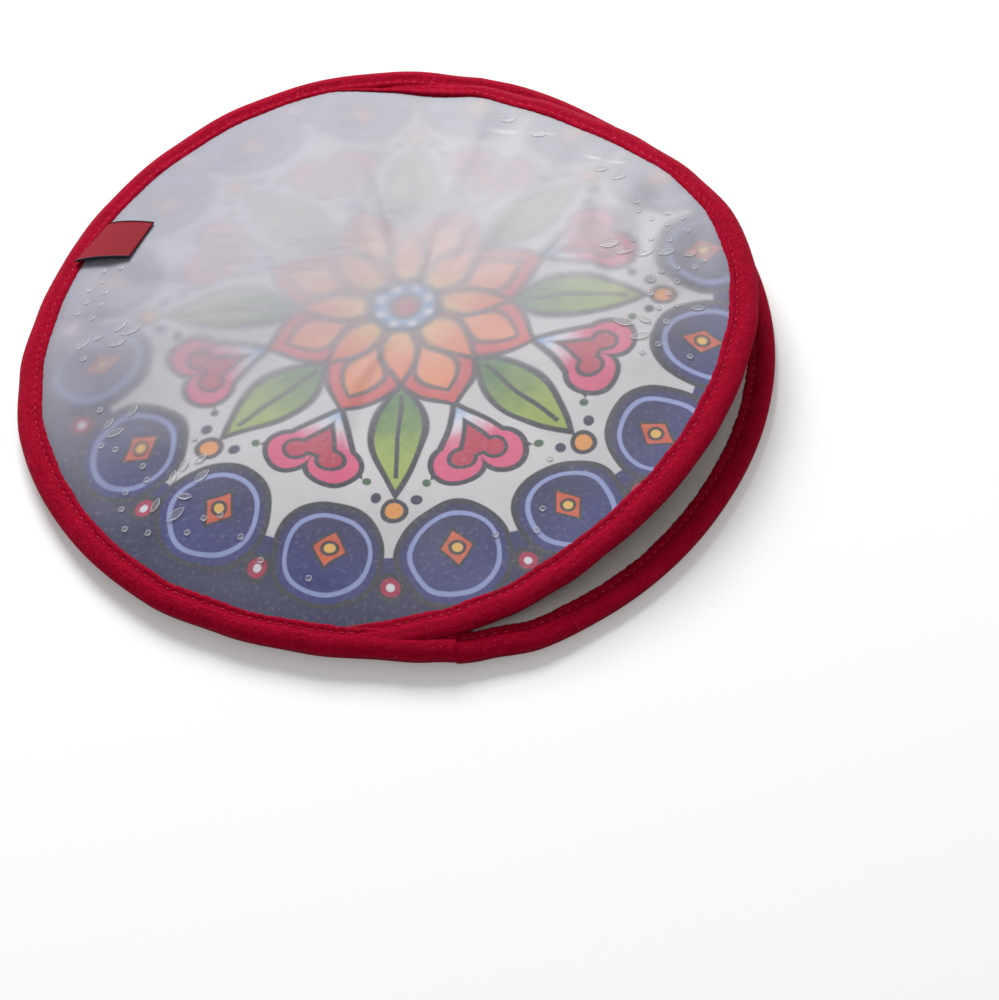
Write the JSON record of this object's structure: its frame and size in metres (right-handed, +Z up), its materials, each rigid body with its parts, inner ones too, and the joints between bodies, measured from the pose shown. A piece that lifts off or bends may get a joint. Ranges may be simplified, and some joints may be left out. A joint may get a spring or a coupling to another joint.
{
  "type": "tortilla warmer",
  "caption": "Round quilted fabric pouch for keeping flatbreads warm, with a frosted film over a printed panel, a tape-bound rim, and a padded front flap that folds back from the mouth.",
  "frame": {"origin": "under the middle of the pouch's outline, on the surface that it lies on", "axes": "+Z up, +X towards the mouth, +Y across the fold of the flap"},
  "size_m": [0.29, 0.305, 0.0295],
  "materials": {
    "film": "frosted translucent film with small vent slits",
    "printed_fabric": null,
    "wadding": "needled white wadding",
    "lining": "smooth plain-woven pale lining",
    "binding": "crimson bias tape, plump, with a slight sheen",
    "thread": "crimson polyester sewing thread",
    "label_ribbon": "folded woven ribbon, brick red with a dark edge"
  },
  "bodies": {
    "pouch": {"base_film": "film", "base_print": "printed_fabric", "base_wadding": "wadding", "base_lining": "lining", "base_binding": "binding", "base_thread": "thread", "rear_film": "film", "rear_print": "printed_fabric", "rear_wadding": "wadding", "rear_lining": "lining", "seam_binding": "binding", "seam_thread": "thread", "label": "label_ribbon"},
    "flap": {"flap_film": "film", "flap_print": "printed_fabric", "flap_wadding": "wadding", "flap_lining": "lining", "flap_binding": "binding", "flap_thread": "thread"}
  },
  "joints": [
    {"name": "flap_fold", "type": "hinge", "parent": "pouch", "child": "flap", "pos_m": [0.0285, 0, 0.024], "axis": [0, -1, 0], "range_deg": [-8.5, 115], "stiffness_Nm_per_rad": 0.06, "springref_deg": 14.32}
  ]
}
